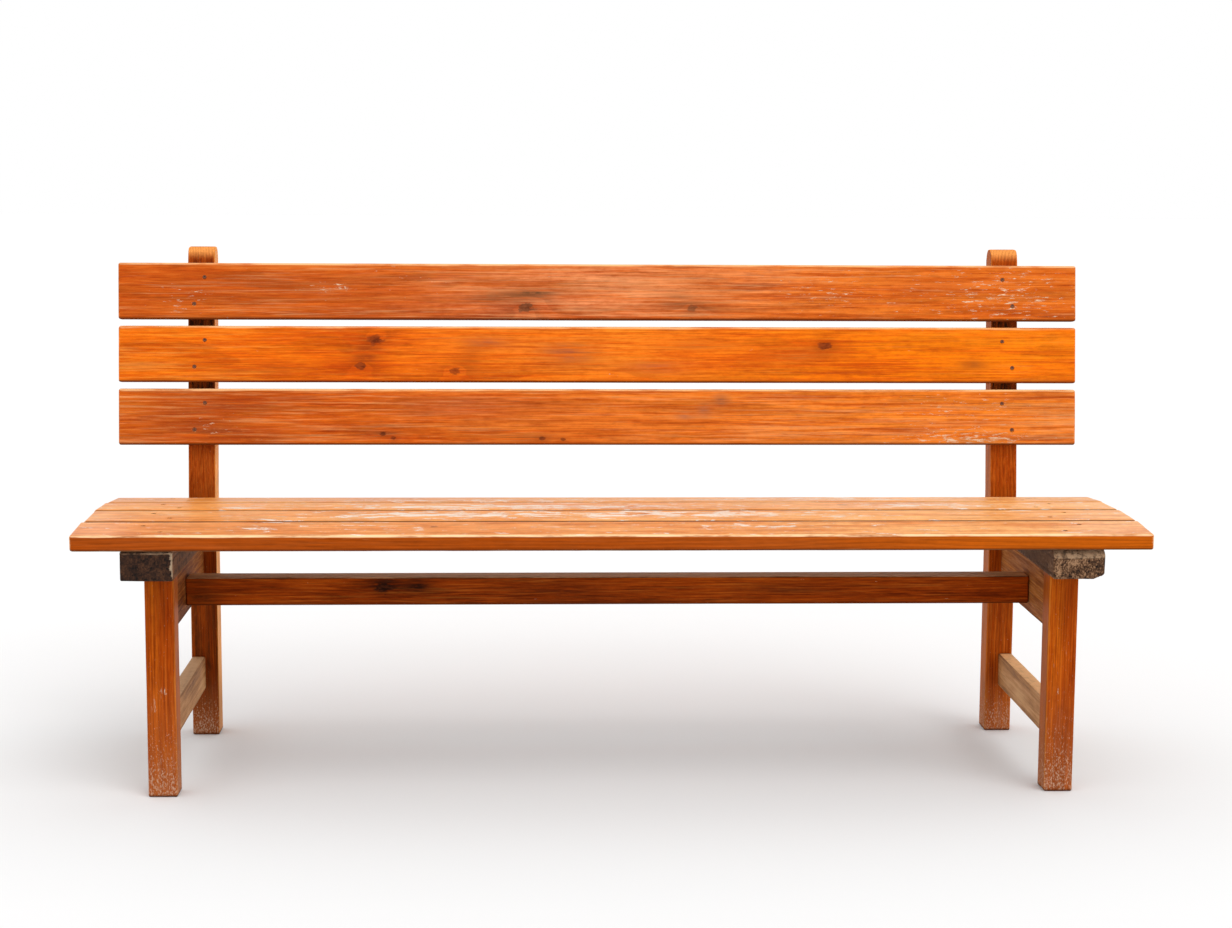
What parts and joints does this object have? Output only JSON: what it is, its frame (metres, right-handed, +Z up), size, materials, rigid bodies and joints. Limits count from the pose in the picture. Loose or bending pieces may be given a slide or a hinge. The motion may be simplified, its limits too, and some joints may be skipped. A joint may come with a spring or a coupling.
{
  "type": "wooden park bench with slatted back",
  "caption": "Long outdoor bench of painted timber with a slatted seat and a low slatted back on cranked rear posts; square front legs, side rails and a stretcher below.",
  "frame": {"origin": "on the ground, under the middle of the bench's length and depth", "axes": "+X along the bench to the right when seen from the front, -Y towards the person in front of it, +Z up"},
  "size_m": [1.73, 0.5597, 0.875],
  "materials": {
    "seat_paint": "worn semi-gloss paint",
    "seat_edge_paint": "worn semi-gloss paint",
    "slat_bottom_paint": "semi-gloss paint",
    "slat_middle_paint": "semi-gloss paint",
    "slat_top_paint": "semi-gloss paint",
    "leg_paint": "worn satin paint",
    "post_paint": "worn satin paint",
    "bearer_wood": "rough weathered",
    "upper_rail_paint": "worn matt",
    "lower_rail_wood": "weathered bare wood",
    "stretcher_paint": "worn satin paint",
    "peg_wood": "bare wood",
    "screw_steel": "dull, rusted"
  },
  "bodies": {
    "root": {"front_leg_left": "leg_paint", "front_leg_right": "leg_paint", "rear_post_left": "post_paint", "rear_post_right": "post_paint", "seat_bearer_left": "bearer_wood", "seat_bearer_right": "bearer_wood", "upper_side_rail_left": "upper_rail_paint", "upper_side_rail_right": "upper_rail_paint", "lower_side_rail_left": "lower_rail_wood", "lower_side_rail_right": "lower_rail_wood", "long_stretcher": "stretcher_paint", "seat_board_1": "seat_edge_paint", "seat_board_2": "seat_paint", "seat_board_3": "seat_paint", "seat_board_4": "seat_paint", "back_slat_bottom": "slat_bottom_paint", "back_slat_middle": "slat_middle_paint", "back_slat_top": "slat_top_paint", "rail_pegs": "peg_wood", "seat_screws": "screw_steel", "back_slat_screws": "screw_steel", "bearer_leg_screws": "screw_steel", "bearer_post_screws": "screw_steel", "stretcher_screws": "screw_steel"}
  },
  "joints": []
}
